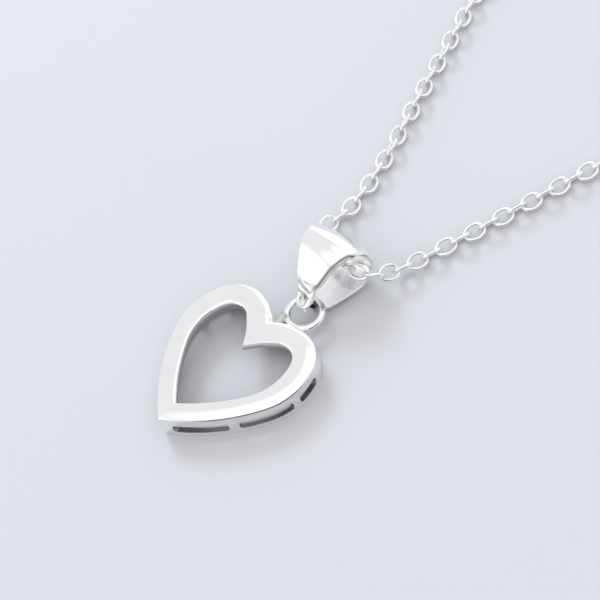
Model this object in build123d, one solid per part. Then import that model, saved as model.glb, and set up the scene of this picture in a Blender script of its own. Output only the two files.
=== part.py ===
from build123d import *
import os
from math import cos, radians, sin, tan

# Silver open-heart pendant lying on a table, on its cable chain. Millimetres.
# The frame is the heart's own: +Z is up off the table, +Y runs from the heart's
# point to its lobes, and the origin is the middle of the rim that it rests on.

# Heart: a cast shell, open at the back, with a pierced gallery wall
heart_width = 15.1
heart_length = 15.6
heart_height = 3.0
side_band = 2.2          # width of the top face at the flanks
lobe_band = 2.3          # width of the top face over the lobes
tip_band = 2.25          # width of the top face at the point, along the axis
bevel_width = 1.1        # sloping outer part of the top face
bevel_drop = 0.28
wall = 0.5               # thickness of the gallery wall and of the inner skirt
plate = 0.75             # thickness of the top face
mitre = 1.35             # an inset wall runs this many times further in at the point
outer_heading = 39       # degrees, the way the outline leaves the notch
inner_heading = 57

# Rows from the notch to the point: share of the half width, share of the half length
OUTER_SHARES = [(0, 0.82), (0.417, 0.985), (0.905, 0.726), (0.905, -0.026), (0, -1)]
INNER_SHARES = [(0, 0.474), (0.462, 0.94), (0.918, 0.818), (0.849, -0.079), (0, -1)]

# Gallery slots, and the skirt under the edge of the opening
slot_bottom = 0.6        # height of the solid lip under the slots
slot_height = 1.05
tip_block = 0.85         # half the solid corner at the point
post = 0.8               # solid wall left between two slots, along the heart
slot_top_share = 0.7     # the last slot ends at this share of the half length
# Shares of the half length at which a post stands between two slots
POST_SHARES = [-0.39, 0.335]
skirt_depth = 1.35
skirt_start = 1.6        # distance from the axis at which the skirt begins
skirt_end = 0.3          # how far below the middle of the heart it ends

# Ring soldered to the notch
ring_wire = 0.68
ring_radius = 1.71       # to the middle of the wire
ring_height = 1.4        # of the middle of the wire above the table
ring_gap = 1.28          # from the notch to the near edge of the ring
ring_aside = 0.75        # the ring sits this far right of the heart's axis
solder_width = 1.1
solder_height = 0.9

# Bail: a tapered strip folded into a drop-shaped loop, seen along its fold
bail_metal = 0.4
bail_reach = 7.5         # from its point to the outside of the fold
fold_radius = 2.72       # outside
bail_fold_half = 3.22    # half the strip's width at the fold
bail_neck_half = 1.3     # half its width where the front leaf turns down
bail_point_half = 0.3    # half its width where the tongue is joined to the back leaf
bail_bow = 0.53          # how hollow its sides are between neck and fold, 0.5 is straight
tongue_tip = 1.1         # height of the tongue's rounded end above the back leaf's underside
tongue_reach = 1.45      # depth of the loop's end that is no wider than the tongue
tongue_bow = 0.22        # how far the tongue's sides bulge between its end and the neck
bail_turn = 8.5          # degrees left of the heart's axis
bail_lean = -5.3         # degrees, left edge down
bail_aside = 0.33        # its point lies this far left of the ring's middle
point_play = 0.69        # free space between the bail's point and the ring's wire
# Rows from the fold to the point: share of the reach, share of the fold's height
BAIL_SHARES = [(0.387, 0.873), (0.23, 0.7), (0.023, 0.239), (0.14, 0)]

# Chain: one whole loop, as the envelope of its links
chain_width = 1.3
chain_height = 0.65      # of its middle above the table
chain_share = 0.45       # of the shorter run that each bend takes up

# Clasp, a spring ring with its end eye, hidden at the far side of the loop
clasp_radius = 2.4
clasp_wire = 1.15
eye_radius = 0.85
eye_wire = 0.55
fit_gap = 0.16           # between parts that touch on the real necklace

# The chain's way round from the clasp's eye to the clasp: x, y, height above chain_height
CHAIN_ROUTE = [
    (2.8, 189.4, 0),
    (12, 188.2, 0),
    (27, 178, 0),
    (39, 157.5, 0),
    (40, 132, 0),
    (32.5, 107, 0),
    (22.5, 83.5, 0),
    (14.5, 60, 0),
    (9.6, 41.5, 0),
    (6.4, 29, 0),
    (4.6, 22.6, 0.02),
    (3.9, 19.2, 0.4),
    (3.2, 16.0, 1.75),
    (-5.15, 15.05, 1.35),
    (-5.35, 18.2, 0.4),
    (-5.55, 21.2, 0.02),
    (-7.2, 26.4, 0),
    (-11.6, 36.5, 0),
    (-18.5, 53.5, 0),
    (-28, 75.5, 0),
    (-39.5, 98, 0),
    (-49, 122.5, 0),
    (-50, 149, 0),
    (-40, 173, 0),
    (-22, 187, 0),
    (-8.4, 189.6, 0),
]


def heart_face(shares, half_width, top, tip, heading):
    """A closed heart of tangent arcs, its table of shares set between top and tip."""
    middle = (top + tip) / 2
    half_length = (top - tip) / 2
    half = [(x * half_width, middle + y * half_length) for x, y in shares]
    edges = []
    way = Vector(cos(radians(heading)), sin(radians(heading)))
    for start, end in zip(half, half[1:]):
        arc = TangentArc(start, end, tangent=way)
        way = arc.tangent_at(1)
        edges.append(arc)
    edges += [edge.mirror(Plane.YZ) for edge in edges]
    return make_face(edges)


def inset_heart(inset):
    """The outer outline brought in by one distance, further at the mitred point."""
    half_length = heart_length / 2
    return heart_face(
        OUTER_SHARES,
        heart_width / 2 - inset,
        half_length - inset,
        mitre * inset - half_length,
        outer_heading,
    )


def opening_face(grow=0.0):
    """The heart-shaped opening, grown by one distance on all sides."""
    half_length = heart_length / 2
    return heart_face(
        INNER_SHARES,
        heart_width / 2 - side_band + grow,
        half_length - lobe_band + grow,
        tip_band - half_length - mitre * grow,
        inner_heading,
    )


def prism(face, bottom, top):
    return extrude(Pos(0, 0, bottom) * face, top - bottom, dir=(0, 0, 1))


def block(x_range, y_range, z_range):
    size = [high - low for low, high in (x_range, y_range, z_range)]
    middle = [(high + low) / 2 for low, high in (x_range, y_range, z_range)]
    return Pos(*middle) * Box(*size)


def gallery_cut():
    """The slots of both flanks: a band round the wall, less the posts and corners."""
    half_length = heart_length / 2
    slot_top = slot_bottom + slot_height
    heights = (slot_bottom, slot_top)
    reach = heart_width
    band = block((-reach, reach), (-reach, slot_top_share * half_length), heights)
    band -= prism(inset_heart(wall), slot_bottom, slot_top)
    corner = block((-tip_block, tip_block), (-reach, 0), heights)
    band -= corner
    for share in POST_SHARES:
        level = share * half_length
        band -= block((-reach, reach), (level - post / 2, level + post / 2), heights)
    return band


def skirt():
    """The deeper inner wall that follows each lobe of the opening."""
    top = heart_height - plate
    bottom = heart_height - skirt_depth
    ring = prism(opening_face(wall), bottom, top + wall / 2)
    ring -= prism(opening_face(), bottom, top + wall)
    reach = heart_width
    ring -= block((-skirt_start, skirt_start), (-reach, reach), (0, heart_height))
    ring -= block((-reach, reach), (-reach, -skirt_end), (0, heart_height))
    return ring


def ring_middle():
    """Centre of the soldered ring."""
    notch = OUTER_SHARES[0][1] * heart_length / 2
    return Vector(ring_aside, notch + ring_gap + ring_radius, ring_height)


def soldered_ring():
    """The ring, with the lump of solder that holds it in the notch."""
    middle = ring_middle()
    notch = Vector(0, OUTER_SHARES[0][1] * heart_length / 2, ring_height)
    ring = Pos(*middle) * Torus(ring_radius, ring_wire / 2)
    toward = (middle - notch).normalized()
    start = notch - toward * wall
    length = (middle - notch).length - ring_radius + wall
    turn = Vector(0, 1, 0).get_signed_angle(toward, Vector(0, 0, 1))
    lump = Box(solder_width, length, solder_height, align=(Align.CENTER, Align.MIN, Align.CENTER))
    return ring + Pos(*start) * Rot(0, 0, turn) * lump


def heart():
    shoulder = heart_height - bevel_drop
    body = prism(inset_heart(0), 0, shoulder)
    body += loft(
        [Pos(0, 0, shoulder) * inset_heart(0), Pos(0, 0, heart_height) * inset_heart(bevel_width)],
        ruled=True,
    )
    body -= prism(inset_heart(wall), 0, heart_height - plate)
    body -= gallery_cut()
    body += skirt()
    body -= prism(opening_face(), 0, heart_height)
    return body + soldered_ring()


def bail_lift():
    """Height of the flat back that sets the lower edge of the fold on the table."""
    return bail_fold_half * sin(radians(abs(bail_lean)))


def bail_profile():
    """Side view of the bail's outside: round fold, bowed front leaf, curled tongue."""
    lift = bail_lift()
    across = bail_reach - fold_radius
    low = (across, lift)
    high = (across, lift + 2 * fold_radius)
    edges = [ThreePointArc(low, (bail_reach, lift + fold_radius), high)]
    start, way = high, Vector(-1, 0)
    for along, up in BAIL_SHARES:
        end = (along * bail_reach, lift + up * 2 * fold_radius)
        arc = TangentArc(start, end, tangent=way)
        edges.append(arc)
        start, way = end, arc.tangent_at(1)
    return make_face(edges + [Line(start, low)])


def bail_plan():
    """Plan of the flattened loop, widening along a bowed side from neck to fold."""
    neck_at = BAIL_SHARES[1][0] * bail_reach
    middle = (neck_at + bail_reach) / 2
    bow = bail_bow * bail_neck_half + (1 - bail_bow) * bail_fold_half
    sides = []
    for side in (-1, 1):
        neck = (side * bail_neck_half, neck_at)
        end = (side * bail_fold_half, bail_reach)
        point = (side * bail_neck_half, 0)
        sides += [Line(point, neck), ThreePointArc(neck, (side * bow, middle), end)]
    across = Line((-bail_neck_half, 0), (bail_neck_half, 0))
    fold = Line((-bail_fold_half, bail_reach), (bail_fold_half, bail_reach))
    return make_face(sides + [across, fold])


def tongue_front():
    """Front view of the loop's end: a narrow foot under a tongue with bulging sides."""
    tip = bail_lift() + tongue_tip
    neck_up = bail_lift() + BAIL_SHARES[1][1] * 2 * fold_radius
    top = bail_lift() + 2 * fold_radius
    sides = []
    for side in (-1, 1):
        foot = (side * bail_point_half, tip)
        neck = (side * bail_neck_half, neck_up)
        bulge = (side * ((bail_neck_half + bail_point_half) / 2 + tongue_bow), (tip + neck_up) / 2)
        sides.append(Line((side * bail_point_half, 0), foot))
        sides.append(ThreePointArc(foot, bulge, neck))
        sides.append(Line(neck, (side * bail_neck_half, top)))
    ends = [Line((-half, up), (half, up)) for half, up in ((bail_point_half, 0), (bail_neck_half, top))]
    return make_face(sides + ends)


def bail():
    """The bent strip, drawn along +Y and then leaned and turned onto the ring."""
    outside = bail_profile()
    strip = outside - offset(outside, -bail_metal)
    across = Plane(origin=(0, 0, 0), x_dir=(0, 1, 0), z_dir=(1, 0, 0))
    loop = extrude(across * strip, bail_fold_half, both=True)
    top = bail_lift() + 2 * fold_radius
    loop &= extrude(bail_plan(), top, dir=(0, 0, 1))
    front = extrude(Plane.XZ * tongue_front(), tongue_reach, dir=(0, 1, 0))
    loop &= front + block((-bail_fold_half, bail_fold_half), (tongue_reach, bail_reach), (0, top))
    way = Vector(0, 1, 0).rotate(Axis.Z, bail_turn)
    aside = Vector(-1, 0, 0).rotate(Axis.Z, bail_turn)
    middle = ring_middle()
    inside = ring_radius - ring_wire / 2 - bail_metal - point_play
    point = middle + way * inside + aside * bail_aside
    return Pos(point.X, point.Y, 0) * Rot(0, 0, bail_turn) * Rot(0, bail_lean, 0) * loop


def bend_radii(points):
    """The largest bend that the two runs at each corner have room for."""
    radii = []
    for before, corner, after in zip(points, points[1:], points[2:]):
        run_in = corner - before
        run_out = after - corner
        turn = run_in.get_angle(run_out)
        shorter = min(run_in.length, run_out.length)
        radii.append(chain_share * shorter / tan(radians(turn / 2)))
    return radii


def chain():
    points = [Vector(x, y, chain_height + lift) for x, y, lift in CHAIN_ROUTE]
    radii = bend_radii(points)
    print("chain bends", [round(radius, 1) for radius in radii])
    path = FilletPolyline(*points, radius=radii)
    print("chain length", round(path.length, 1))
    start = Plane(origin=path @ 0, z_dir=path % 0)
    return sweep(start * Circle(chain_width / 2), path=path)


def clasp():
    """Spring ring and eye, lying between the chain's two ends."""
    eye_end, ring_end = CHAIN_ROUTE[0], CHAIN_ROUTE[-1]
    height = clasp_wire / 2
    ring_x = ring_end[0] + fit_gap + clasp_radius + clasp_wire / 2
    eye_x = eye_end[0] - fit_gap - eye_radius - eye_wire / 2
    ring = Pos(ring_x, ring_end[1], height) * Torus(clasp_radius, clasp_wire / 2)
    eye = Pos(eye_x, eye_end[1], height) * Torus(eye_radius, eye_wire / 2)
    neck_start = ring_x + clasp_radius
    neck_end = eye_x - eye_radius
    neck = Pos((neck_start + neck_end) / 2, eye_end[1], height) * Box(
        neck_end - neck_start, eye_wire, eye_wire
    )
    return ring + neck + eye


os.makedirs("parts", exist_ok=True)
for name, build in {"heart": heart, "bail": bail, "chain": chain, "clasp": clasp}.items():
    export_step(build(), f"parts/{name}.step")
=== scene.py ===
import random
from math import atan2, cos, exp, pi, radians, sin, sqrt

import bmesh
import bpy
from mathutils import Matrix, Vector, noise


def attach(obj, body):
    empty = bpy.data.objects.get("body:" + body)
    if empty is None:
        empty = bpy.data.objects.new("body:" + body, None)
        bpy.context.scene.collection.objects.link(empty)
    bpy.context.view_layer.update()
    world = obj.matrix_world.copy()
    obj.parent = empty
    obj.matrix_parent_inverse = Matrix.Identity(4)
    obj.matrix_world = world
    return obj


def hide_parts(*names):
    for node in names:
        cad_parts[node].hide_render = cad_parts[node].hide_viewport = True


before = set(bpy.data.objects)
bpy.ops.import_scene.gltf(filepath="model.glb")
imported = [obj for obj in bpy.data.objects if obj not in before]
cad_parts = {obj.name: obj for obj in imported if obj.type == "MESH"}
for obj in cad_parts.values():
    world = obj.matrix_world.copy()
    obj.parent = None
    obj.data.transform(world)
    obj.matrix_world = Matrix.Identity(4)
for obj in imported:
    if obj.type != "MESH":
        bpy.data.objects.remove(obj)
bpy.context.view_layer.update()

# Silver open-heart pendant lying on its cable chain, in millimetres until a mesh is made.
# The heart's back rim lies on z = 0, and +Y runs from its point to its lobes.
MM = 0.001

# Heart
heart_width = 15.1
heart_length = 15.6
heart_height = 3.0
side_band = 2.2
lobe_band = 2.3
tip_band = 2.25
bevel_width = 1.1
bevel_drop = 0.28
bevel_start = 0.3  # share of the bevel's mean slope at its inner line
wall = 0.5
plate = 0.75
mitre = 1.35  # how far the point draws in for each millimetre of inset
outer_heading = 39  # degrees above +X at which the outlines leave the notch
inner_heading = 57
# Outlines from the notch to the point, as shares of the half width and half length
OUTER_SHARES = [(0, 0.82), (0.417, 0.985), (0.905, 0.726), (0.905, -0.026), (0, -1)]
INNER_SHARES = [(0, 0.474), (0.462, 0.94), (0.918, 0.818), (0.849, -0.079), (0, -1)]
ARC_STEPS = (18, 22, 30, 52)  # of the mesh along each arc of an outline
inner_round = 0.42  # soft edge of the opening: its width and drop
inner_drop = 0.1
edge_round = 0.06  # small rounding of every cast edge
shoulder_set = 0.2  # share of it by which the outer one starts lower
SOFT_STEPS = 6  # rows of the mesh over the soft edge, and over the bevel
BEVEL_STEPS = 12
WALL_LEVELS = (2.52, 2.3, 1.95)  # rows of the mesh on the wall above the slots
foot_level = 0.35  # and below them

# Gallery slots, and the skirt under the edge of the opening
slot_bottom = 0.6
slot_height = 1.05
slot_corner = 0.4  # how far a slot's end curves back at its top and bottom
slot_power = 3  # of that curve: 2 is round, more is squarer
slot_fade = 1.5  # how fast the mesh straightens above and below a slot's end
tip_block = 0.85  # half width of the solid stretch at the point
post = 0.8
# Shares of the half length: the first slot's top, and the posts' middles
slot_top_share = 0.7
POST_SHARES = [-0.39, 0.335]
SLOT_ROWS = [1, 0.93, 0.76, 0.45, 0, -0.45, -0.76, -0.93, -1]  # of the mesh, top to bottom
end_reach = 6  # stations over which the mesh makes room for a slot's round end
skirt_lip = 0.04  # the plate's edge turns down by this much where no skirt is
# Depth below the top plate, along the opening from the notch (0) to the point (4)
RIGHT_SKIRT = [(0.55, 0), (0.56, 0.35), (0.6, 0.53), (0.7, 0.6), (2.6, 0.6), (3.0, 0)]
LEFT_SKIRT = [(0.3, 0), (0.9, 0.1), (1.5, 0.4), (2.0, 0.6)]
LEFT_SKIRT += [(2.4, 0.6), (2.8, 0.42), (3.3, 0.15), (3.7, 0)]

# Ring soldered to the notch
ring_wire = 0.68
ring_radius = 1.71
ring_height = 1.4
ring_gap = 1.28  # from the notch to the wire's middle line
ring_aside = 0.75
RING_STEPS = (96, 24)  # of the mesh: round the ring and round its wire

# Solder between them
SOLDER_START = (-0.25, -0.1)  # across and along from the notch
SOLDER_END = (-0.7, -0.7)  # from the ring's middle, as shares of its radius
solder_height = 1.6
solder_sunk = 0.35  # how far it starts inside the notch
solder_reach = 0.3  # how much longer it is than the way to the ring
solder_half = 0.64
solder_waist = 0.14  # how much thinner its middle is
solder_flat = 0.85  # its height as a share of its width
solder_power = 8  # of the curve that rounds its ends
solder_tip = 0.15  # share of its thickness that is left at the ends
lump_size = 0.16
lump_scale = 2.2  # rough number of lumps in a millimetre
SOLDER_STEPS = (30, 40)  # of the mesh: along it and round it

PAINTED_SHADE = "painted_shade"  # painted shade: how much the metal's colour is darkened, from 0 to 1, standing in for shade and dark reflections, is kept in a mesh under this name
skirt_painted_shade = 0.55  # painted shade of the skirt's lower part, standing in for its dark reflection under the plate
shoulder_painted_reflection = 0.9  # painted dark reflection in the line under the bevel, along the right flank
SHOULDER_PLACES = (2.1, 3.85)  # between which that line shows
SHOULDER_FADES = (0.5, 0.4)  # and over which it comes and goes

# Bail
bail_metal = 0.4
bail_reach = 7.5
fold_radius = 2.72
bail_fold_half = 3.17  # half the strip's width at the fold, the neck and the point
bail_neck_half = 1.5
bail_point_half = 0.31
bail_bow = 0.38  # share of its widening that is missing half way to the fold
bail_sway = 0.1  # how far the leaves' middle swings to the right
bail_turn = 8.5
bail_lean = -5.3
bail_aside = 0.33
point_play = 0.69  # from the ring's inside to the strip at its point
bail_taper = 0.027  # share of the height that is lost in each millimetre to the right
# Side view of the front, as shares of length and height: arcs to the neck, then the curl
BAIL_SHARES = [(0.387, 0.873), (0.23, 0.7)]
TONGUE_SHARES = [
    (0.113, 0.45),
    (0.053, 0.36),
    (0, 0.305),
    (-0.03, 0.262),
    (-0.03, 0.215),
    (-0.005, 0.205),
    (0.062, 0.19),
    (0.14, 0),
]
curl_metal = 0.26  # thickness of the strip round the curl
curl_reach = 0.9  # and how far each way from the curl's end it is that thin
tongue_length = 3.25  # from the neck to the curl's end
tongue_half = 1.05  # half its width, until it turns round over the last tongue_round
tongue_round = 1.8
tongue_sway = -0.08  # the same for its own middle, which lies left
neck_ease = 0.9  # length below the neck over which width and sway come in
sway_end = 0.5  # length past the curl's end over which the sway goes
bail_crown = 0.08  # the middle stands above the edges by this share of the half width
crown_ease = 0.5  # length above the crease over which it comes in
OUTER_EDGE = (0.5, 0.24)  # width and drop of the strip's rounded long edges, outside
UNDER_EDGE = (0.12, 0.12)  # and on the underside
edge_share = 0.4  # neither is more than this share of the half width,
edge_depth = 0.6  # nor the drop more than this share of the thickness
# The crease under the leaf: share of the half width, distance below the neck
CREASE = [
    (-1.1, 0.6),
    (-0.7, 0.85),
    (-0.3, 1.1),
    (0.3, 1.3),
    (0.55, 1.3),
    (0.7, 1.1),
    (0.8, 0.6),
    (0.85, -0.1),
    (0.88, -1.9),
    (0.92, -4.2),
    (1.2, -5.4),
]
crease_depth = 0.06
crease_width = 0.15
rim_height = 0.04  # raised rim below the crease
rim_at = 2.2  # its distance past the crease, in widths of the crease
tongue_scoop = 0.2  # depth of the tongue's hollow
scoop_start = 0.15  # it begins at this share of the way to its middle
# Painted shade along the crease, standing in for its shadow and dark reflection
crease_painted_shade = 0.88
apex_shade_share = 0.4  # share of it that is left where the crease lies lowest
apex_reach = 0.8  # distance below the neck from which it is that weak
# Painted dark reflections in the tongue's hollow: share of the half width, distance below the neck,
# both radii, darkness
PAINTED_REFLECTIONS = [
    (0.0, 2.0, 0.2, 0.36, 0.93),
    (-0.5, 2.0, 0.12, 0.5, 0.5),
    (0.55, 2.1, 0.35, 0.8, 0.55),
    (-0.1, 2.95, 0.6, 0.12, 0.5),
    (0.1, 2.2, 0.8, 1.1, 0.36),
]
# Painted shade in the loop's corner: shares of the reach and of the fold's radius, then its size
CORNER_SHARES = (0.13, 0.36)
corner_radius = 1.25
corner_fade = 0.6
corner_start = 2  # below the neck, where it begins, and over which it comes in
corner_ease = 0.4
# Painted shade in the right mouth of the fold
mouth_angle = 40  # degrees round the fold, above its middle
mouth_radius = 0.7
mouth_painted_shade = 0.8
mouth_start = 0.2  # share across where it begins, and over which it comes in
mouth_ease = 0.5
front_limit = -0.5  # outward slope from which the strip faces the table
bail_step = 0.05  # of the mesh along the strip
FOLD_STEPS = 60  # of the line round the fold
LEAF_STEPS = 40  # and along each arc of the front leaf
SECTION_STEPS = 56  # of the mesh across the outside, and the underside
UNDER_STEPS = 12

# Chain
link_pitch = 1.54
link_length = 2.4
link_width = 1.8
link_wire = 0.38
link_twist = 32  # degrees that the links turn out of flat and upright
link_wander = 14  # degrees by which that drifts along the chain
wander_scale = 0.12  # how fast it drifts, for each millimetre
link_jitter = 4  # degrees by which it differs from link to link
calm_links = 8  # links from each end over which the turning comes in
end_rest = 1.35  # from the last link's middle to the route's end
LINK_STEPS = 26  # of the mesh: round a link and round its wire
WIRE_STEPS = 10
ROUTE_STEPS = 24  # of the smooth line between two points of the route
chain_height = 0.65  # of the chain's middle line over the table
# Across, along, and up from that line
CHAIN_ROUTE = [
    (2.8, 189.4, 0),
    (12, 188.2, 0),
    (27, 178, 0),
    (39, 157.5, 0),
    (40, 132, 0),
    (32.5, 107, 0),
    (22.5, 83.5, 0),
    (14.5, 60, 0),
    (9.6, 41.5, 0),
    (6.4, 29, 0),
    (4.6, 22.6, 0.02),
    (3.9, 19.2, 0.4),
    (3.2, 15.6, 1.95),
    (-5.15, 14.5, 1.75),
    (-5.35, 18.2, 0.4),
    (-5.55, 21.2, 0.02),
    (-7.2, 26.4, 0),
    (-11.6, 36.5, 0),
    (-18.5, 53.5, 0),
    (-28, 75.5, 0),
    (-39.5, 98, 0),
    (-49, 122.5, 0),
    (-50, 149, 0),
    (-40, 173, 0),
    (-22, 187, 0),
    (-8.4, 189.6, 0.15),
]

# Clasp
clasp_radius = 2.4
clasp_wire = 1.15
eye_radius = 0.85
eye_wire = 0.55
eye_lift = 0.3  # the eye is held up by the link in it
clasp_lift = 0.5  # and the ring's far side by the jump ring round it
jump_half = 1.3  # half length and half height of the jump ring's middle line
jump_rise = 0.86
jump_play = 0.05  # between it and the spring ring's wire
fit_gap = 0.16  # between the metal and the chain's route at its ends
SLIDE_ANGLES = (100, 150)  # degrees round the ring of its thinner sliding part
slide_share = 0.68  # that part's thickness as a share of the ring's
neck_sunk = 0.3  # the neck starts this share of the wire outside its middle line
neck_share = 1.15  # the neck's thickness as a share of the eye's wire
neck_waist = 0.35  # and how much of that is missing at its middle
stud_angle = 104  # degrees round the ring
# The thumb stud: distance inwards from the ring's inside, radius
STUD_ROWS = [(0, 0.2), (0.25, 0.2), (0.3, 0.34), (0.5, 0.36), (0.58, 0.28), (0.6, 0.1)]
CLASP_STEPS = (120, 20)  # of the mesh: round each ring, or along the neck, and round its wire
EYE_STEPS = (48, 14)
JUMP_STEPS = (48, 12)
NECK_STEPS = (6, 14)
STUD_STEPS = 14

sharp_angle = 38  # degrees from which an edge isn't shaded smooth

# Camera
camera_aim = (-1.667, 10.449, 0)
camera_azimuth = 68.066
camera_elevation = 54.481
camera_roll = -22.218
camera_distance = 240
camera_lens = 151.2

# Studio
tent = (0.885, 0.89, 0.895, 1)
# Cards in the tent: azimuth, elevation, inner and outer radius in degrees, brightness
STUDIO_CARDS = [
    (68, 84, 6, 30, 1.3),
    (190, 57, 6, 20, 1.3),
    (224, 6, 11, 15, 1.3),
    (217, 16, 11, 15, 1.3),
    (210, 24, 10, 14, 1.3),
    (203, 29, 9, 13, 1.3),
    (333, 30, 26, 36, 1.3),
    (68, 12, 12, 26, 0.04),
    (98, 20, 7, 18, 0.05),
]
# Lamps: name, place, size, power in watts, colour
LAMPS = [
    ("key", (-300, 100, 250), 150, 0.65, (0.86, 0.94, 1)),
    ("fill", (400, -200, 300), 500, 0.45, (1, 0.94, 0.89)),
]
lamp_aim = (0, 10, 0)
table_half = 1500
TABLE_TONES = [(0.598, 0.6, 0.638, 1), (0.588, 0.592, 0.632, 1)]
table_scale = 60  # of the noise between these tones
table_rough = 0.6
table_specular = 0.2

# Metal: scales of the noises in its tone, polish, waves and grain
CLOUD_SCALE = 420
POLISH_SCALE = 1500
WAVE_SCALE = 700
GRAIN_SCALE = 9000
NOISE_SPAN = (0.3, 0.7)  # part of a noise that is spread over the wanted values
bump_height = 0.00001  # metres
# Finishes: light tone, dark tone, least and most roughness
BRIGHT = ((0.95, 0.95, 0.945, 1), (0.9, 0.905, 0.91, 1), 0.04, 0.09)
SATIN = ((0.97, 0.97, 0.965, 1), (0.93, 0.935, 0.94, 1), 0.22, 0.3)
DRAWN = ((0.95, 0.95, 0.95, 1), (0.9, 0.9, 0.91, 1), 0.07, 0.14)
# Cast: rough cast metal whose tone is darkened as painted shade for the heart's inside and slot walls
CAST_SHADED = ((0.5, 0.5, 0.5, 1), (0.36, 0.36, 0.37, 1), 0.3, 0.5)
SOLDERED = ((0.68, 0.69, 0.66, 1), (0.28, 0.28, 0.27, 1), 0.15, 0.35)
# Painted shade: the colour and roughness that the mesh's painted shade mixes into the metal
painted_shade_tone = (0.03, 0.028, 0.026, 1)
painted_shade_rough = 0.5

RIGHT = Vector((1, 0, 0))
AHEAD = Vector((0, 1, 0))
UP = Vector((0, 0, 1))


def new_object(name, bm, materials):
    """An object of a mesh in millimetres, shaded smooth but for its sharp edges."""
    bmesh.ops.recalc_face_normals(bm, faces=bm.faces[:])
    for face in bm.faces:
        face.smooth = True
    for edge in bm.edges:
        if edge.is_manifold and edge.calc_face_angle() > radians(sharp_angle):
            edge.smooth = False
    bm.transform(Matrix.Scale(MM, 4))
    mesh = bpy.data.meshes.new(name)
    bm.to_mesh(mesh)
    bm.free()
    for material in materials:
        mesh.materials.append(material)
    piece = bpy.data.objects.new(name, mesh)
    bpy.context.scene.collection.objects.link(piece)
    return piece


def add_rings(bm, rings, slot=0, closed=True, caps=False):
    """Joins rings of points, all of one length, into a surface."""
    grid = [[bm.verts.new(point) for point in ring] for ring in rings]
    last = len(grid) if closed else len(grid) - 1
    faces = []
    for row in range(last):
        low, high = grid[row], grid[(row + 1) % len(grid)]
        for column in range(len(low)):
            after = (column + 1) % len(low)
            faces.append(bm.faces.new((low[column], low[after], high[after], high[column])))
    if caps:
        faces.append(bm.faces.new(grid[0]))
        faces.append(bm.faces.new(grid[-1]))
    for face in faces:
        face.material_index = slot


def circle_ring(centre, across, up, radius, steps):
    """A ring of points round a centre."""
    ring = []
    for step in range(steps):
        angle = 2 * pi * step / steps
        ring.append(centre + across * (radius * cos(angle)) + up * (radius * sin(angle)))
    return ring


def oval_rings(centre, long_way, wide_way, halves, wire, steps, share_at=None):
    """Rings of a wire bent to an oval of these halves, and thinner where share_at says."""
    face = long_way.cross(wide_way).normalized()
    rings = []
    for step in range(steps[0]):
        angle = 2 * pi * step / steps[0]
        along, aside = long_way * cos(angle), wide_way * sin(angle)
        middle = centre + along * halves[0] + aside * halves[1]
        out = (along * halves[1] + aside * halves[0]).normalized()
        half = wire / 2 * (share_at(angle) if share_at else 1)
        rings.append(circle_ring(middle, out, face, half, steps[1]))
    return rings


def lying_rings(centre, radius, wire, steps, share_at=None):
    """Rings of a wire bent to a circle that lies flat."""
    return oval_rings(centre, RIGHT, AHEAD, (radius, radius), wire, steps, share_at)


def turned(way, angle):
    """A flat direction turned anticlockwise."""
    return Vector((way.x * cos(angle) - way.y * sin(angle), way.x * sin(angle) + way.y * cos(angle)))


def tangent_arcs(ends, way):
    """Arcs through the points, each going on from the last, as start, chord, way, turn."""
    arcs = []
    for start, end in zip(ends, ends[1:]):
        chord = end - start
        turn = 2 * atan2(way.x * chord.y - way.y * chord.x, way.dot(chord))
        arcs.append((start, chord, way, turn))
        way = turned(way, turn)
    return arcs


def on_arc(arc, share):
    """The point at a share of an arc."""
    start, chord, way, turn = arc
    if abs(turn) < 1e-6:
        return start + chord * share
    reach = chord.length * sin(turn * share / 2) / sin(turn / 2)
    return start + turned(way, turn * share / 2) * reach


def half_heart(shares, half_width, top, tip, heading):
    """The arcs of a heart's right half, from the notch to the point."""
    middle = (top + tip) / 2
    half_length = (top - tip) / 2
    ends = [Vector((x * half_width, middle + y * half_length)) for x, y in shares]
    return tangent_arcs(ends, Vector((cos(radians(heading)), sin(radians(heading)))))


def inset_heart(inset):
    """The outer outline, drawn in by a distance."""
    half_length = heart_length / 2
    half_width = heart_width / 2 - inset
    tip = mitre * inset - half_length
    return half_heart(OUTER_SHARES, half_width, half_length - inset, tip, outer_heading)


def opening_heart(grow):
    """The opening's outline, grown by a distance."""
    half_length = heart_length / 2
    half_width = heart_width / 2 - side_band + grow
    tip = tip_band - half_length - mitre * grow
    return half_heart(INNER_SHARES, half_width, half_length - lobe_band + grow, tip, inner_heading)


def on_heart(arcs, side, place):
    """The point of a heart at a place from 0 at the notch to 4 at the point."""
    number = min(int(place), len(arcs) - 1)
    point = on_arc(arcs[number], place - number)
    return Vector((side * point.x, point.y))


def stepped(table, at):
    """Straight runs between the rows of a table of two columns."""
    if at <= table[0][0]:
        return table[0][1]
    for (start, low), (end, high) in zip(table, table[1:]):
        if at <= end:
            return low + (high - low) * (at - start) / (end - start)
    return table[-1][1]


def heart_stations():
    """Sides and places round the heart, from the notch down the right and back up the left."""
    half = [arc + step / steps for arc, steps in enumerate(ARC_STEPS) for step in range(steps)]
    right = [(1, place) for place in half + [len(ARC_STEPS)]]
    left = [(-1, place) for place in reversed(half[1:])]
    return right + left


def place_at(arcs, low, high, passed):
    """The place between two bounds at which a test of the point turns true, by halving."""
    for _ in range(40):
        middle = (low + high) / 2
        if passed(on_heart(arcs, 1, middle)):
            high = middle
        else:
            low = middle
    return (low + high) / 2


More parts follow.
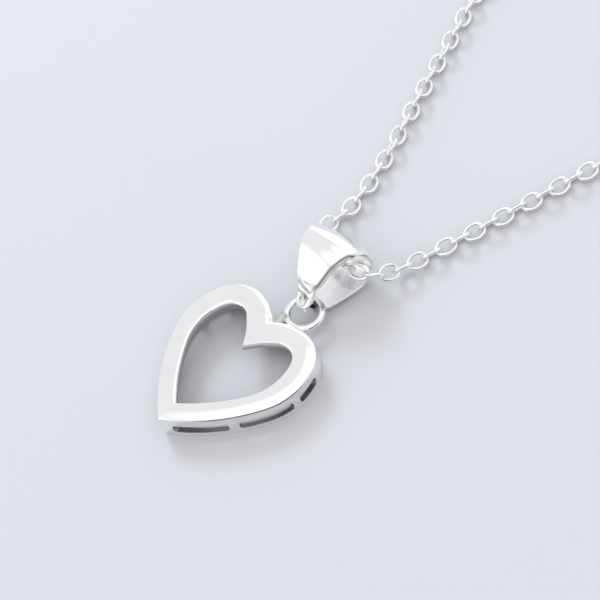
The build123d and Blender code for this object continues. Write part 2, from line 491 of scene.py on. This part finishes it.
def slot_spans():
    """Start and end place of each slot of one flank."""
    arcs = inset_heart(0)
    half_length = heart_length / 2
    levels = [slot_top_share * half_length]
    for share in reversed(POST_SHARES):
        levels += [share * half_length + post / 2, share * half_length - post / 2]
    last = len(arcs)
    ends = [place_at(arcs, 1, last, lambda point, level=level: point.y < level) for level in levels]
    ends.append(place_at(arcs, last - 1, last, lambda point: point.x < tip_block))
    return list(zip(ends[0::2], ends[1::2]))


def slot_end_shift(height):
    """How far a slot's rounded end draws in at a height."""
    middle = slot_bottom + slot_height / 2
    off = abs(height - middle) / (slot_height / 2)
    if off > 1:
        return slot_corner * max(0, 1 - (off - 1) * slot_fade)
    return slot_corner * (1 - (1 - off**slot_power) ** (1 / slot_power))


def wall_place(stations, index, height, ends):
    """A station's place, moved where a slot's end needs the mesh to make room."""
    moved = stations[index][1]
    for number, span_end, inward, speed in ends:
        gap = abs(index - number)
        if gap < end_reach:
            target = span_end + inward * slot_end_shift(height) / speed
            moved += (target - stations[number][1]) * (1 - gap / end_reach)
    return moved


def slot_ends(stations):
    """Slot ends as station, exact place, way in and length of a place; and the slots' spans."""
    arcs = inset_heart(0)
    ends = []
    spans = []
    for side in (1, -1):
        choices = [index for index, station in enumerate(stations) if station[0] == side]
        for start, end in slot_spans():
            pair = []
            for place, inward in ((start, 1), (end, -1)):
                number = min(choices, key=lambda index: abs(stations[index][1] - place))
                _, chord, _, turn = arcs[min(int(place), len(arcs) - 1)]
                speed = chord.length * (turn / 2) / sin(turn / 2)
                ends.append((number, place, inward, speed))
                pair.append(number)
            spans.append(sorted(pair))
    return ends, spans


def heart_rows():
    """The closed cross-section, as rows of kind, distance, height and mark.

    The rows outer and inner cross the slots, inner and inside are darker rough metal, partly
    painted shade; low carries painted shade and shoulder a painted dark reflection.
    A skirt's heights are stretched later to its depth.
    """
    top = heart_height
    rows = []
    for share, mark in ((0, "low"), (0.5, "low"), (1, "")):
        rows.append(("skirt", 0, edge_round + share * skirt_rise(), mark))
    for step in range(1, SOFT_STEPS + 1):
        share = step / SOFT_STEPS
        rows.append(("opening", inner_round * share, top - inner_drop * (1 - share) ** 2, ""))
    rows += [("band", share, top, "") for share in (0.25, 0.5, 0.75)]
    for step in range(BEVEL_STEPS + 1):
        share = step / BEVEL_STEPS
        inset = bevel_width + (edge_round - bevel_width) * share
        drop = bevel_drop * (bevel_start * share + (1 - bevel_start) * share**2)
        rows.append(("inset", inset, top - drop, ""))
    for angle in (50, 25, 0):
        inset = edge_round * (1 - cos(radians(angle)))
        drop = edge_round * (1 + shoulder_set - sin(radians(angle)))
        rows.append(("inset", inset, top - bevel_drop - drop, "shoulder"))
    heights = [slot_bottom + slot_height * (share + 1) / 2 for share in SLOT_ROWS]
    rows += [("inset", 0, height, "") for height in WALL_LEVELS]
    rows += [("inset", 0, height, "outer") for height in heights]
    rows += [("inset", 0, height, "") for height in (foot_level, edge_round)]
    rows += [("inset", edge_round, 0, ""), ("inset", wall - edge_round, 0, "inside")]
    rows += [("inset", wall, height, "inside") for height in (edge_round, foot_level)]
    rows += [("inset", wall, height, "inner") for height in reversed(heights)]
    rows += [("inset", wall, height, "inside") for height in (WALL_LEVELS[-1], top - plate)]
    rows += [("under", 0.5, top - plate, "inside"), ("opening", wall, top - plate, "")]
    rows += [("skirt", wall, edge_round, "low"), ("skirt", wall - edge_round, 0, "low")]
    rows += [("skirt", edge_round, 0, "low")]
    return rows


def skirt_rise():
    """Height of the opening's wall between its two rounded edges, where no skirt is."""
    return plate - inner_drop - 2 * edge_round


def heart_grid(stations, rows, ends):
    """The points of every row at every station."""
    curves = {}

    def point_of(kind, distance, side, place):
        key = (kind, round(distance, 4))
        if key not in curves:
            curves[key] = inset_heart(distance) if kind == "inset" else opening_heart(distance)
        return on_heart(curves[key], side, place)

    grid = []
    for kind, distance, height, _ in rows:
        line = []
        for index, (side, place) in enumerate(stations):
            level = height
            if kind in ("band", "under"):
                near, far = (inner_round, bevel_width) if kind == "band" else (wall, wall)
                inside = point_of("opening", near, side, place)
                point = inside.lerp(point_of("inset", far, side, place), distance)
            elif kind == "skirt":
                point = point_of("opening", distance, side, place)
                depth = max(skirt_lip, stepped(RIGHT_SKIRT if side > 0 else LEFT_SKIRT, place))
                bottom = heart_height - plate - depth
                share = max(0, height - edge_round) / skirt_rise()
                reach = heart_height - inner_drop - edge_round - (bottom + edge_round)
                level = bottom + min(height, edge_round) + share * reach
            else:
                if kind == "inset" and distance in (0, wall):
                    place = wall_place(stations, index, height, ends)
                point = point_of(kind, distance, side, place)
            line.append(Vector((point.x, point.y, level)))
        grid.append(line)
    return grid


def notch_y():
    """How far along the heart its outer notch lies."""
    return OUTER_SHARES[0][1] * heart_length / 2


def ring_middle():
    """The middle of the soldered ring."""
    return Vector((ring_aside, notch_y() + ring_gap + ring_radius, ring_height))


def heart_painted_shade(mark, side, place):
    """Painted shade of the heart at a place: low on the skirt, and a painted dark reflection in the
    line under the bevel.
    """
    if mark == "low":
        return skirt_painted_shade
    if mark == "shoulder" and side > 0:
        coming = eased((place - SHOULDER_PLACES[0]) / SHOULDER_FADES[0])
        going = eased((SHOULDER_PLACES[1] - place) / SHOULDER_FADES[1])
        return shoulder_painted_reflection * coming * going
    return 0


def add_heart_shell(bm):
    """The cast heart: one closed surface whose gallery wall is cut through by the slots."""
    stations = heart_stations()
    rows = heart_rows()
    ends, spans = slot_ends(stations)
    layer = bm.verts.layers.float.new(PAINTED_SHADE)
    grid = [[bm.verts.new(point) for point in line] for line in heart_grid(stations, rows, ends)]
    marks = [row[3] for row in rows]
    for mark, line in zip(marks, grid):
        for (side, place), vertex in zip(stations, line):
            vertex[layer] = heart_painted_shade(mark, side, place)
    count = len(stations)
    open_columns = set()
    for start, end in spans:
        open_columns.update(range(start, end))
    for row in range(len(rows)):
        after = (row + 1) % len(rows)
        cut = marks[row] in ("outer", "inner") and marks[row] == marks[after]
        for column in range(count):
            if cut and column in open_columns:
                continue
            beside = (column + 1) % count
            corners = (grid[row][column], grid[row][beside], grid[after][beside], grid[after][column])
            face = bm.faces.new(corners)
            # inner faces take the darker cast metal, partly painted shade
            face.material_index = 1 if marks[row] in ("inside", "inner") else 0
    outer = [grid[row] for row, mark in enumerate(marks) if mark == "outer"]
    inner = [grid[row] for row, mark in enumerate(marks) if mark == "inner"][::-1]
    edges = []
    for start, end in spans:
        for row in (0, -1):
            edges += [(row, column, row, column + 1) for column in range(start, end)]
        for column in (start, end):
            edges += [(row, column, row + 1, column) for row in range(len(outer) - 1)]
    # the slot walls take the darker cast metal too, partly painted shade
    for row, column, after, beside in edges:
        corners = (outer[row][column], outer[after][beside])
        corners += (inner[after][beside], inner[row][column])
        bm.faces.new(corners).material_index = 1


def add_solder(bm):
    """The lump of solder between the notch and the ring."""
    ring_side = ring_middle() + Vector((*SOLDER_END, 0)) * ring_radius
    notch = Vector((SOLDER_START[0], notch_y() + SOLDER_START[1], solder_height))
    way = (ring_side - notch).normalized()
    across = Vector((way.y, -way.x, 0)).normalized()
    length = (ring_side - notch).length + solder_reach
    steps, round_steps = SOLDER_STEPS
    rings = []
    for step in range(steps + 1):
        share = step / steps
        centre = notch + way * (length * share - solder_sunk)
        end = sqrt(max(0, 1 - (2 * share - 1) ** solder_power))
        half = (solder_half - solder_waist * sin(pi * share)) * max(end, solder_tip)
        ring = circle_ring(centre, across, UP, half, round_steps)
        for point in ring:
            lump = noise.noise(point * lump_scale) * lump_size
            point += (point - centre).normalized() * lump * end
            point.z = centre.z + (point.z - centre.z) * solder_flat
        rings.append(ring)
    add_rings(bm, rings, slot=2, closed=False, caps=True)


def heart_piece(materials):
    """The heart with its ring and solder; materials: outside, inside, solder."""
    bm = bmesh.new()
    add_heart_shell(bm)
    add_rings(bm, lying_rings(ring_middle(), ring_radius, ring_wire, RING_STEPS))
    add_solder(bm)
    return new_object("heart_silver", bm, materials)


def bail_lift():
    """Height of the loop in its own plan, which the lean brings down to the table."""
    return bail_fold_half * sin(radians(abs(bail_lean)))


def loop_place(along, up):
    """A point of the loop's side view, from shares of its length and height."""
    return Vector((along * bail_reach, bail_lift() + up * 2 * fold_radius))


def round_fold(angle):
    """A point of the loop's side view, at degrees round the fold."""
    out = Vector((cos(radians(angle)), sin(radians(angle))))
    return Vector((bail_reach - fold_radius, bail_lift() + fold_radius)) + out * fold_radius


def bail_line():
    """The loop's outside line seen along its fold, evenly stepped, as places along and up."""
    line = [round_fold(180 * step / FOLD_STEPS - 90) for step in range(FOLD_STEPS)]
    leaf = [round_fold(90)] + [loop_place(*shares) for shares in BAIL_SHARES]
    for arc in tangent_arcs(leaf, Vector((-1, 0))):
        line += [on_arc(arc, step / LEAF_STEPS) for step in range(LEAF_STEPS)]
    line += leaf[-1:] + [loop_place(*shares) for shares in TONGUE_SHARES] + line[:1]
    length = line_length(line)
    return smoothed(walked(line, length, round(length / bail_step))[:-1], passes=20)


def line_length(points):
    """Length of an open line."""
    return sum((after - before).length for before, after in zip(points, points[1:]))


def walked(points, span, count):
    """The ends of equal steps along a line of points, from its start over the span."""
    places = []
    at = 0
    passed = 0
    run = (points[1] - points[0]).length
    for number in range(count + 1):
        target = span * number / count
        while at < len(points) - 2 and passed + run < target:
            passed += run
            at += 1
            run = (points[at + 1] - points[at]).length
        places.append(points[at].lerp(points[at + 1], (target - passed) / run))
    return places


def smoothed(values, passes):
    """A closed list of numbers or vectors, each drawn towards its neighbours."""
    for _ in range(passes):
        values = [
            (values[index - 1] + values[index] * 2 + values[(index + 1) % len(values)]) / 4
            for index in range(len(values))
        ]
    return values


def bail_half_width(place, below):
    """Half the strip's width at a place on its line, and that far below the neck."""
    neck_at = BAIL_SHARES[-1][0] * bail_reach
    foot_at = TONGUE_SHARES[-1][0] * bail_reach
    widening = bail_fold_half - bail_neck_half
    if below > tongue_length and place.x < neck_at:
        share = max(0, (place.x - foot_at) / (neck_at - foot_at))
        return bail_point_half + (bail_neck_half - bail_point_half) * sqrt(share)
    if 0 < tongue_length - below < tongue_round:
        share = sqrt(1 - (1 - (tongue_length - below) / tongue_round) ** 2)
        return max(bail_point_half, tongue_half * share)
    if 0 < below <= tongue_length - tongue_round:
        return bail_neck_half + (tongue_half - bail_neck_half) * eased(below / neck_ease)
    share = max(0, (place.x - neck_at) / (bail_reach - neck_at))
    bow = (0.5 - bail_bow) * widening
    return bail_neck_half + widening * share + 4 * bow * share * (1 - share)


def eased(value):
    """A smooth rise from 0 to 1."""
    value = min(1, max(0, value))
    return value * value * (3 - 2 * value)


def past_crease(spot, line):
    """Distance of a place of the flattened strip from the crease's line, below 0 on the leaf."""
    gaps = []
    for start, end in zip(line, line[1:]):
        run = end - start
        share = min(1, max(0, (spot - start).dot(run) / run.dot(run)))
        gaps.append((spot - start - run * share).length)
    return min(gaps) if spot.y > stepped(line, spot.x) else -min(gaps)


def bail_relief(below, share, half, past):
    """Height of the outside over the strip: crowned leaf, crease, rim, and the tongue's hollow."""
    groove = -crease_depth * exp(-((past / crease_width) ** 2))
    if past < 0:
        return bail_crown * half * (1 - share**2) * eased(-past / crown_ease) + groove
    rim = rim_height * exp(-(((past - rim_at * crease_width) / crease_width) ** 2))
    rest = max(0, tongue_length - below)
    along = past / (past + rest) if past else 0
    middle = (1 - share**2) * sin(pi * along)
    return groove + rim - tongue_scoop * eased((middle - scoop_start) / (1 - scoop_start))


def front_painted_shade(share, below, past):
    """Painted shade of the front at a place: in the crease, and the painted dark reflections of the
    tongue.
    """
    fade = apex_shade_share + (1 - apex_shade_share) * eased((apex_reach - below) / apex_reach)
    darkness = fade * crease_painted_shade * exp(-((past / crease_width) ** 2))
    for at_share, at_below, wide, long, strength in PAINTED_REFLECTIONS:
        off = ((share - at_share) / wide) ** 2 + ((below - at_below) / long) ** 2
        darkness = max(darkness, strength * exp(-off))
    return darkness


def loop_painted_shade(point, share, below):
    """Painted shade of the rest of the strip: in the loop's corner, and in the fold's right mouth."""
    corner = Vector((bail_reach * CORNER_SHARES[0], bail_lift() + fold_radius * CORNER_SHARES[1]))
    in_corner = eased((corner_radius - (point - corner).length) / corner_fade)
    in_corner *= eased((below - corner_start) / corner_ease)
    in_mouth = exp(-(((point - round_fold(mouth_angle)).length / mouth_radius) ** 2))
    in_mouth *= eased((share - mouth_start) / mouth_ease)
    return max(in_corner, mouth_painted_shade * in_mouth)


def bail_spots():
    """The cross-section: share across the flat, degrees round the edge, outside or underside."""
    outside = [(-cos(pi * step / SECTION_STEPS), 90, True) for step in range(SECTION_STEPS + 1)]
    underside = [(cos(pi * step / UNDER_STEPS), 90, False) for step in range(UNDER_STEPS + 1)]
    right = [(1, angle, True) for angle in (75, 60, 45, 30, 15, 0)]
    right += [(1, angle, False) for angle in (0, 30, 60)]
    left = [(-1, angle, outer) for _, angle, outer in reversed(right)]
    return outside + right + underside + left


def edge_size(outer, half, thick):
    """Width and drop of the strip's rounded long edge."""
    width, drop = OUTER_EDGE if outer else UNDER_EDGE
    return min(width, half * edge_share), min(drop, half * edge_share, thick * edge_depth)


def bail_across(spot, half, thick):
    """Distance of one place of the cross-section from the strip's middle."""
    share, angle, outer = spot
    width = edge_size(outer, half, thick)[0]
    return share * (half - width * (1 - cos(radians(angle))))


def bail_out(spot, half, thick, below, past):
    """How far outwards one place of the cross-section lies."""
    share, angle, outer = spot
    drop = edge_size(outer, half, thick)[1]
    if not outer:
        return drop * (1 - sin(radians(angle))) - thick
    rise = 0 if past is None else bail_relief(below, share, half, past)
    return rise - (drop + rise) * (1 - sin(radians(angle)))


def bail_place():
    """From the bail's own plan to the part's frame."""
    turn = Matrix.Rotation(radians(bail_turn), 4, "Z")
    inside = ring_radius - ring_wire / 2 - bail_metal - point_play
    point = ring_middle() + turn @ (AHEAD * inside - RIGHT * bail_aside)
    point.z = 0
    return Matrix.Translation(point) @ turn @ Matrix.Rotation(radians(bail_lean), 4, "Y")


def bail_normals(line):
    """The outward direction at each point of the loop's line."""
    normals = []
    for index in range(len(line)):
        way = (line[(index + 1) % len(line)] - line[index - 1]).normalized()
        normals.append(Vector((way.y, -way.x)))
    return [normal.normalized() for normal in smoothed(normals, passes=4)]


def bail_sizes(line):
    """Distance below the neck, half width and thickness at each point of the loop's line."""
    neck = loop_place(*BAIL_SHARES[-1])
    neck_index = min(range(len(line)), key=lambda index: (line[index] - neck).length)
    belows = [(index - neck_index) * bail_step for index in range(len(line))]
    halves = [bail_half_width(point, below) for point, below in zip(line, belows)]
    curled = [abs(below - tongue_length) < curl_reach for below in belows]
    thicks = [curl_metal if curl else bail_metal for curl in curled]
    return belows, smoothed(halves, passes=4), smoothed(thicks, passes=12)


def bail_swing(point, below):
    """How far the strip's middle lies to the right at a place."""
    leaf = bail_sway * sin(pi * min(1, max(0, point.x / bail_reach)))
    tongue = eased(below / neck_ease) * eased((tongue_length + sway_end - below) / sway_end)
    return leaf + tongue_sway * tongue


def bail_piece(materials):
    """The folded strip, with painted shade; materials: outside, underside."""
    line = bail_line()
    belows, halves, thicks = bail_sizes(line)
    crease = []
    for share, below in CREASE:
        half = halves[belows.index(0) + round(below / bail_step)]
        crease.append(Vector((share * half, below)))
    place = bail_place()
    spots = bail_spots()
    rings = []
    painted_amounts = []
    for point, normal, below, half, thick in zip(line, bail_normals(line), belows, halves, thicks):
        in_front = below < tongue_length and normal.y > front_limit
        swing = bail_swing(point, below)
        ring = []
        for spot in spots:
            share, _, outer = spot
            across = bail_across(spot, half, thick)
            past = past_crease(Vector((across, below)), crease) if in_front else None
            along, up = point + normal * bail_out(spot, half, thick, below, past)
            across += swing
            ring.append(place @ Vector((across, along, up * (1 - bail_taper * across))))
            if in_front and outer:
                painted_amounts.append(front_painted_shade(share, below, past))
            else:
                painted_amounts.append(loop_painted_shade(point, share, below))
        rings.append(ring)
    bm = bmesh.new()
    add_rings(bm, rings)
    for index, face in enumerate(bm.faces):
        outer = spots[index % len(spots)][2]
        face.material_index = 0 if outer else 1
    layer = bm.verts.layers.float.new(PAINTED_SHADE)
    for vertex, painted_amount in zip(bm.verts, painted_amounts):
        vertex[layer] = painted_amount
    return new_object("bail_silver", bm, materials)


def route_points():
    """The chain's smooth middle line, as a NURBS curve gives it."""
    curve = bpy.data.curves.new("route", "CURVE")
    curve.dimensions = "3D"
    spline = curve.splines.new("NURBS")
    spline.points.add(len(CHAIN_ROUTE) - 1)
    for point, (x, y, lift) in zip(spline.points, CHAIN_ROUTE):
        point.co = (x, y, chain_height + lift, 1)
    spline.order_u = 3
    spline.use_endpoint_u = True
    spline.resolution_u = ROUTE_STEPS
    carrier = bpy.data.objects.new("route", curve)
    mesh = bpy.data.meshes.new_from_object(carrier)
    points = [vertex.co.copy() for vertex in mesh.vertices]
    bpy.data.objects.remove(carrier)
    bpy.data.curves.remove(curve)
    bpy.data.meshes.remove(mesh)
    return points


def link_places():
    """The middles of an even number of links, at equal steps near the wanted pitch."""
    points = route_points()
    span = line_length(points) - end_rest
    return walked(points, span, 2 * round((span / link_pitch - 1) / 2) + 1)


def link_rings(centre, way, flat):
    """An oval link: its long axis lies along way, and its hole faces along flat."""
    across = flat.cross(way).normalized()
    halves = ((link_length - link_wire) / 2, (link_width - link_wire) / 2)
    return oval_rings(centre, way, across, halves, link_wire, (LINK_STEPS, WIRE_STEPS))


def chain_piece(materials):
    """Links along the route, flat and upright in turn, that turn a little and lie on the table."""
    random.seed(7)
    places = link_places()
    bm = bmesh.new()
    for number, centre in enumerate(places):
        before = places[max(number - 1, 0)]
        after = places[min(number + 1, len(places) - 1)]
        way = (after - before).normalized()
        side = way.cross(UP).normalized()
        up = side.cross(way)
        twist = link_twist * (1 if side.x > 0 else -1)
        twist += link_wander * noise.noise(centre * wander_scale)
        twist += random.uniform(-link_jitter, link_jitter)
        from_end = min(number, len(places) - 1 - number)
        roll = radians(twist * eased(from_end / calm_links) + (0 if number % 2 else 90))
        rings = link_rings(centre, way, up * cos(roll) + side * sin(roll))
        lift = max(0, -min(point.z for ring in rings for point in ring))
        add_rings(bm, [[point + UP * lift for point in ring] for ring in rings])
    return new_object("chain_links", bm, materials)


def tilted(ring, middle):
    """Points of the spring ring, lifted by the jump ring at its side away from the eye."""
    span = 2 * clasp_radius + clasp_wire
    lifts = [clasp_lift * (middle.x + span / 2 - point.x) / span for point in ring]
    return [point + UP * lift for point, lift in zip(ring, lifts)]


def add_jump_ring(bm, middle):
    """The upright ring through the chain's last link, round the spring ring's far side."""
    inside = middle.x - clasp_radius + (clasp_wire + link_wire) / 2 + jump_play
    lift = clasp_lift * (1 - clasp_wire / (4 * clasp_radius))
    centre = Vector((inside - jump_half, middle.y, middle.z + lift))
    halves = (jump_half, jump_rise)
    add_rings(bm, oval_rings(centre, RIGHT, UP, halves, link_wire, JUMP_STEPS))


def add_neck(bm, middle, eye):
    """The waisted neck from the spring ring to its eye."""
    way = (eye - middle).normalized()
    across = Vector((way.y, -way.x, 0))
    start = clasp_radius + clasp_wire * neck_sunk
    end = (eye - middle).length - eye_radius
    rings = []
    for step in range(NECK_STEPS[0] + 1):
        share = step / NECK_STEPS[0]
        centre = middle + way * (start + (end - start) * share)
        half = eye_wire / 2 * (neck_share - neck_waist * sin(pi * share))
        rings.append(circle_ring(centre, across, UP, half, NECK_STEPS[1]))
    add_rings(bm, rings, closed=False, caps=True)


def add_stud(bm, middle):
    """The thumb stud that slides the thinner part of the spring ring."""
    out = turned(RIGHT, radians(stud_angle)).to_3d()
    side = Vector((-out.y, out.x, 0))
    base = middle + out * (clasp_radius - clasp_wire / 2)
    rings = []
    for reach, half in STUD_ROWS:
        ring = circle_ring(base - out * reach, side, UP, half, STUD_STEPS)
        rings.append(tilted(ring, middle))
    add_rings(bm, rings, closed=False, caps=True)


def clasp_piece(materials):
    """A spring ring with its sliding part, thumb stud, neck, eye and jump ring."""
    eye_end, ring_end = CHAIN_ROUTE[0], CHAIN_ROUTE[-1]
    height = clasp_wire / 2
    ring_x = ring_end[0] + fit_gap + clasp_radius + clasp_wire / 2
    eye_x = eye_end[0] - fit_gap - eye_radius - eye_wire / 2
    middle = Vector((ring_x, ring_end[1], height))
    eye = Vector((eye_x, eye_end[1], height + eye_lift))

    def ring_share(angle):
        slides = radians(SLIDE_ANGLES[0]) < angle < radians(SLIDE_ANGLES[1])
        return slide_share if slides else 1

    bm = bmesh.new()
    loops = lying_rings(middle, clasp_radius, clasp_wire, CLASP_STEPS, ring_share)
    add_rings(bm, [tilted(ring, middle) for ring in loops])
    add_rings(bm, lying_rings(eye, eye_radius, eye_wire, EYE_STEPS))
    add_jump_ring(bm, middle)
    add_neck(bm, middle, eye)
    add_stud(bm, middle)
    return new_object("clasp_silver", bm, materials)


def feed(tree, value, socket):
    """Links an output to a socket, or sets the socket to a colour or number."""
    if isinstance(value, bpy.types.NodeSocket):
        tree.links.new(value, socket)
    else:
        socket.default_value = value


def mixed(tree, kind, factor, before, after):
    """Blends from one colour or number to another by a factor."""
    mix = tree.nodes.new("ShaderNodeMix")
    mix.data_type = kind
    for name, value in (("Factor", factor), ("A", before), ("B", after)):
        feed(tree, value, mix.inputs[name])
    return mix.outputs["Result"]


def clouds(tree, scale, detail):
    """A noise that is fixed to the object."""
    place = tree.nodes.new("ShaderNodeTexCoord")
    texture = tree.nodes.new("ShaderNodeTexNoise")
    texture.inputs["Scale"].default_value = scale
    texture.inputs["Detail"].default_value = detail
    tree.links.new(place.outputs["Object"], texture.inputs["Vector"])
    return texture.outputs["Fac"]


def noise_of(tree, scale, detail, low, high):
    """A cloudy number between two values."""
    ramp = tree.nodes.new("ShaderNodeMapRange")
    ramp.inputs["From Min"].default_value, ramp.inputs["From Max"].default_value = NOISE_SPAN
    ramp.inputs["To Min"].default_value = low
    ramp.inputs["To Max"].default_value = high
    tree.links.new(clouds(tree, scale, detail), ramp.inputs["Value"])
    return ramp.outputs["Result"]


def new_material(name):
    """A material, with its tree of nodes and its shader."""
    material = bpy.data.materials.new(name)
    material.use_nodes = True
    return material, material.node_tree, material.node_tree.nodes["Principled BSDF"]


def metal(name, finish, wave=0.02, grain=0, with_painted_shade=False):
    """Polished metal: faint cloudy tone, uneven polish, a slight waviness, and the painted shade kept
    in its mesh.
    """
    light, dark, smooth, rough = finish
    material, tree, shader = new_material(name)
    shader.inputs["Metallic"].default_value = 1
    colour = mixed(tree, "RGBA", noise_of(tree, CLOUD_SCALE, 3, 0, 1), light, dark)
    polish = noise_of(tree, POLISH_SCALE, 4, smooth, rough)
    if with_painted_shade:
        # painted shade: the colour darkens by the amount kept in the mesh
        depth = tree.nodes.new("ShaderNodeAttribute")
        depth.attribute_name = PAINTED_SHADE
        colour = mixed(tree, "RGBA", depth.outputs["Fac"], colour, painted_shade_tone)
        polish = mixed(tree, "FLOAT", depth.outputs["Fac"], polish, painted_shade_rough)
    tree.links.new(colour, shader.inputs["Base Color"])
    tree.links.new(polish, shader.inputs["Roughness"])
    total = tree.nodes.new("ShaderNodeMath")
    total.operation = "ADD"
    tree.links.new(noise_of(tree, WAVE_SCALE, 2, 0, wave), total.inputs[0])
    tree.links.new(noise_of(tree, GRAIN_SCALE, 4, 0, grain), total.inputs[1])
    bump = tree.nodes.new("ShaderNodeBump")
    bump.inputs["Distance"].default_value = bump_height
    tree.links.new(total.outputs["Value"], bump.inputs["Height"])
    tree.links.new(bump.outputs["Normal"], shader.inputs["Normal"])
    return material


def add_table():
    """The pale table, with a faint unevenness of tone."""
    bm = bmesh.new()
    corners = [(RIGHT * x + AHEAD * y) * table_half for x, y in ((-1, -1), (1, -1), (1, 1), (-1, 1))]
    bm.faces.new([bm.verts.new(corner) for corner in corners])
    material, tree, shader = new_material("pale_table")
    shader.inputs["Roughness"].default_value = table_rough
    shader.inputs["Specular IOR Level"].default_value = table_specular
    tone = mixed(tree, "RGBA", clouds(tree, table_scale, 2), *TABLE_TONES)
    tree.links.new(tone, shader.inputs["Base Color"])
    new_object("table_top", bm, [material])


def direction_of(azimuth, elevation):
    """A direction from degrees round from -Y towards +X and degrees up."""
    azimuth = radians(azimuth)
    elevation = radians(elevation)
    return Vector((sin(azimuth) * cos(elevation), -cos(azimuth) * cos(elevation), sin(elevation)))


def add_camera():
    """The camera at the photograph's angle to the object."""
    way = direction_of(camera_azimuth, camera_elevation)
    turn = way.to_track_quat("Z", "Y").to_matrix().to_4x4()
    roll = Matrix.Rotation(radians(camera_roll), 4, "Z")
    place = (Vector(camera_aim) + way * camera_distance) * MM
    camera = bpy.data.objects.new("camera", bpy.data.cameras.new("camera"))
    camera.data.lens = camera_lens
    camera.data.clip_start = 0.01
    camera.matrix_world = Matrix.Translation(place) @ turn @ roll
    bpy.context.scene.collection.objects.link(camera)
    bpy.context.scene.camera = camera


def with_card(tree, direction, before, card):
    """Blends a round soft patch of light or shade into the surroundings."""
    azimuth, elevation, inner, outer, brightness = card
    dot = tree.nodes.new("ShaderNodeVectorMath")
    dot.operation = "DOT_PRODUCT"
    tree.links.new(direction, dot.inputs[0])
    dot.inputs[1].default_value = direction_of(azimuth, elevation)
    ramp = tree.nodes.new("ShaderNodeMapRange")
    ramp.interpolation_type = "SMOOTHSTEP"
    ramp.inputs["From Min"].default_value = cos(radians(outer))
    ramp.inputs["From Max"].default_value = cos(radians(inner))
    tree.links.new(dot.outputs["Value"], ramp.inputs["Value"])
    tone = (brightness, brightness, brightness, 1)
    return mixed(tree, "RGBA", ramp.outputs["Result"], before, tone)


def add_surroundings():
    """A bright tent of light with a few soft darker and brighter patches."""
    world = bpy.data.worlds.new("studio")
    bpy.context.scene.world = world
    world.use_nodes = True
    tree = world.node_tree
    direction = tree.nodes.new("ShaderNodeTexCoord").outputs["Generated"]
    colour = tent
    for card in STUDIO_CARDS:
        colour = with_card(tree, direction, colour, card)
    tree.links.new(colour, tree.nodes["Background"].inputs["Color"])


def add_lamp(name, place, size, power, colour):
    """A round soft lamp that lights the scene but isn't seen in the metal."""
    light = bpy.data.lights.new(name, "AREA")
    light.shape = "DISK"
    light.size = size * MM
    light.energy = power
    light.color = colour
    lamp = bpy.data.objects.new(name, light)
    lamp.location = Vector(place) * MM
    lamp.rotation_euler = (Vector(place) - Vector(lamp_aim)).to_track_quat("Z", "Y").to_euler()
    lamp.visible_glossy = False
    bpy.context.scene.collection.objects.link(lamp)


silver = metal("polished_silver", BRIGHT)
heart_silver = metal("heart_silver", BRIGHT, with_painted_shade=True)
# darker cast metal of the heart's inside: rough cast finish, partly painted shade
cast_shaded_silver = metal("cast_shaded_silver", CAST_SHADED, grain=0.4)
solder = metal("solder_silver", SOLDERED, wave=0.6, grain=0.3)
leaf_silver = metal("leaf_silver", BRIGHT, with_painted_shade=True)
satin_silver = metal("satin_silver", SATIN, with_painted_shade=True)
wire_silver = metal("chain_silver", DRAWN)

pieces = [
    (heart_piece([heart_silver, cast_shaded_silver, solder]), "heart", "polished_silver"),
    (bail_piece([leaf_silver, satin_silver]), "bail", "polished_silver"),
    (chain_piece([wire_silver]), "chain", "chain_silver"),
    (clasp_piece([silver]), "clasp", "chain_silver"),
]
for piece, node, slot in pieces:
    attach(piece, "root")
    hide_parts(node)

add_table()
add_surroundings()
for lamp in LAMPS:
    add_lamp(*lamp)
add_camera()
bpy.context.scene.view_settings.view_transform = "Standard"
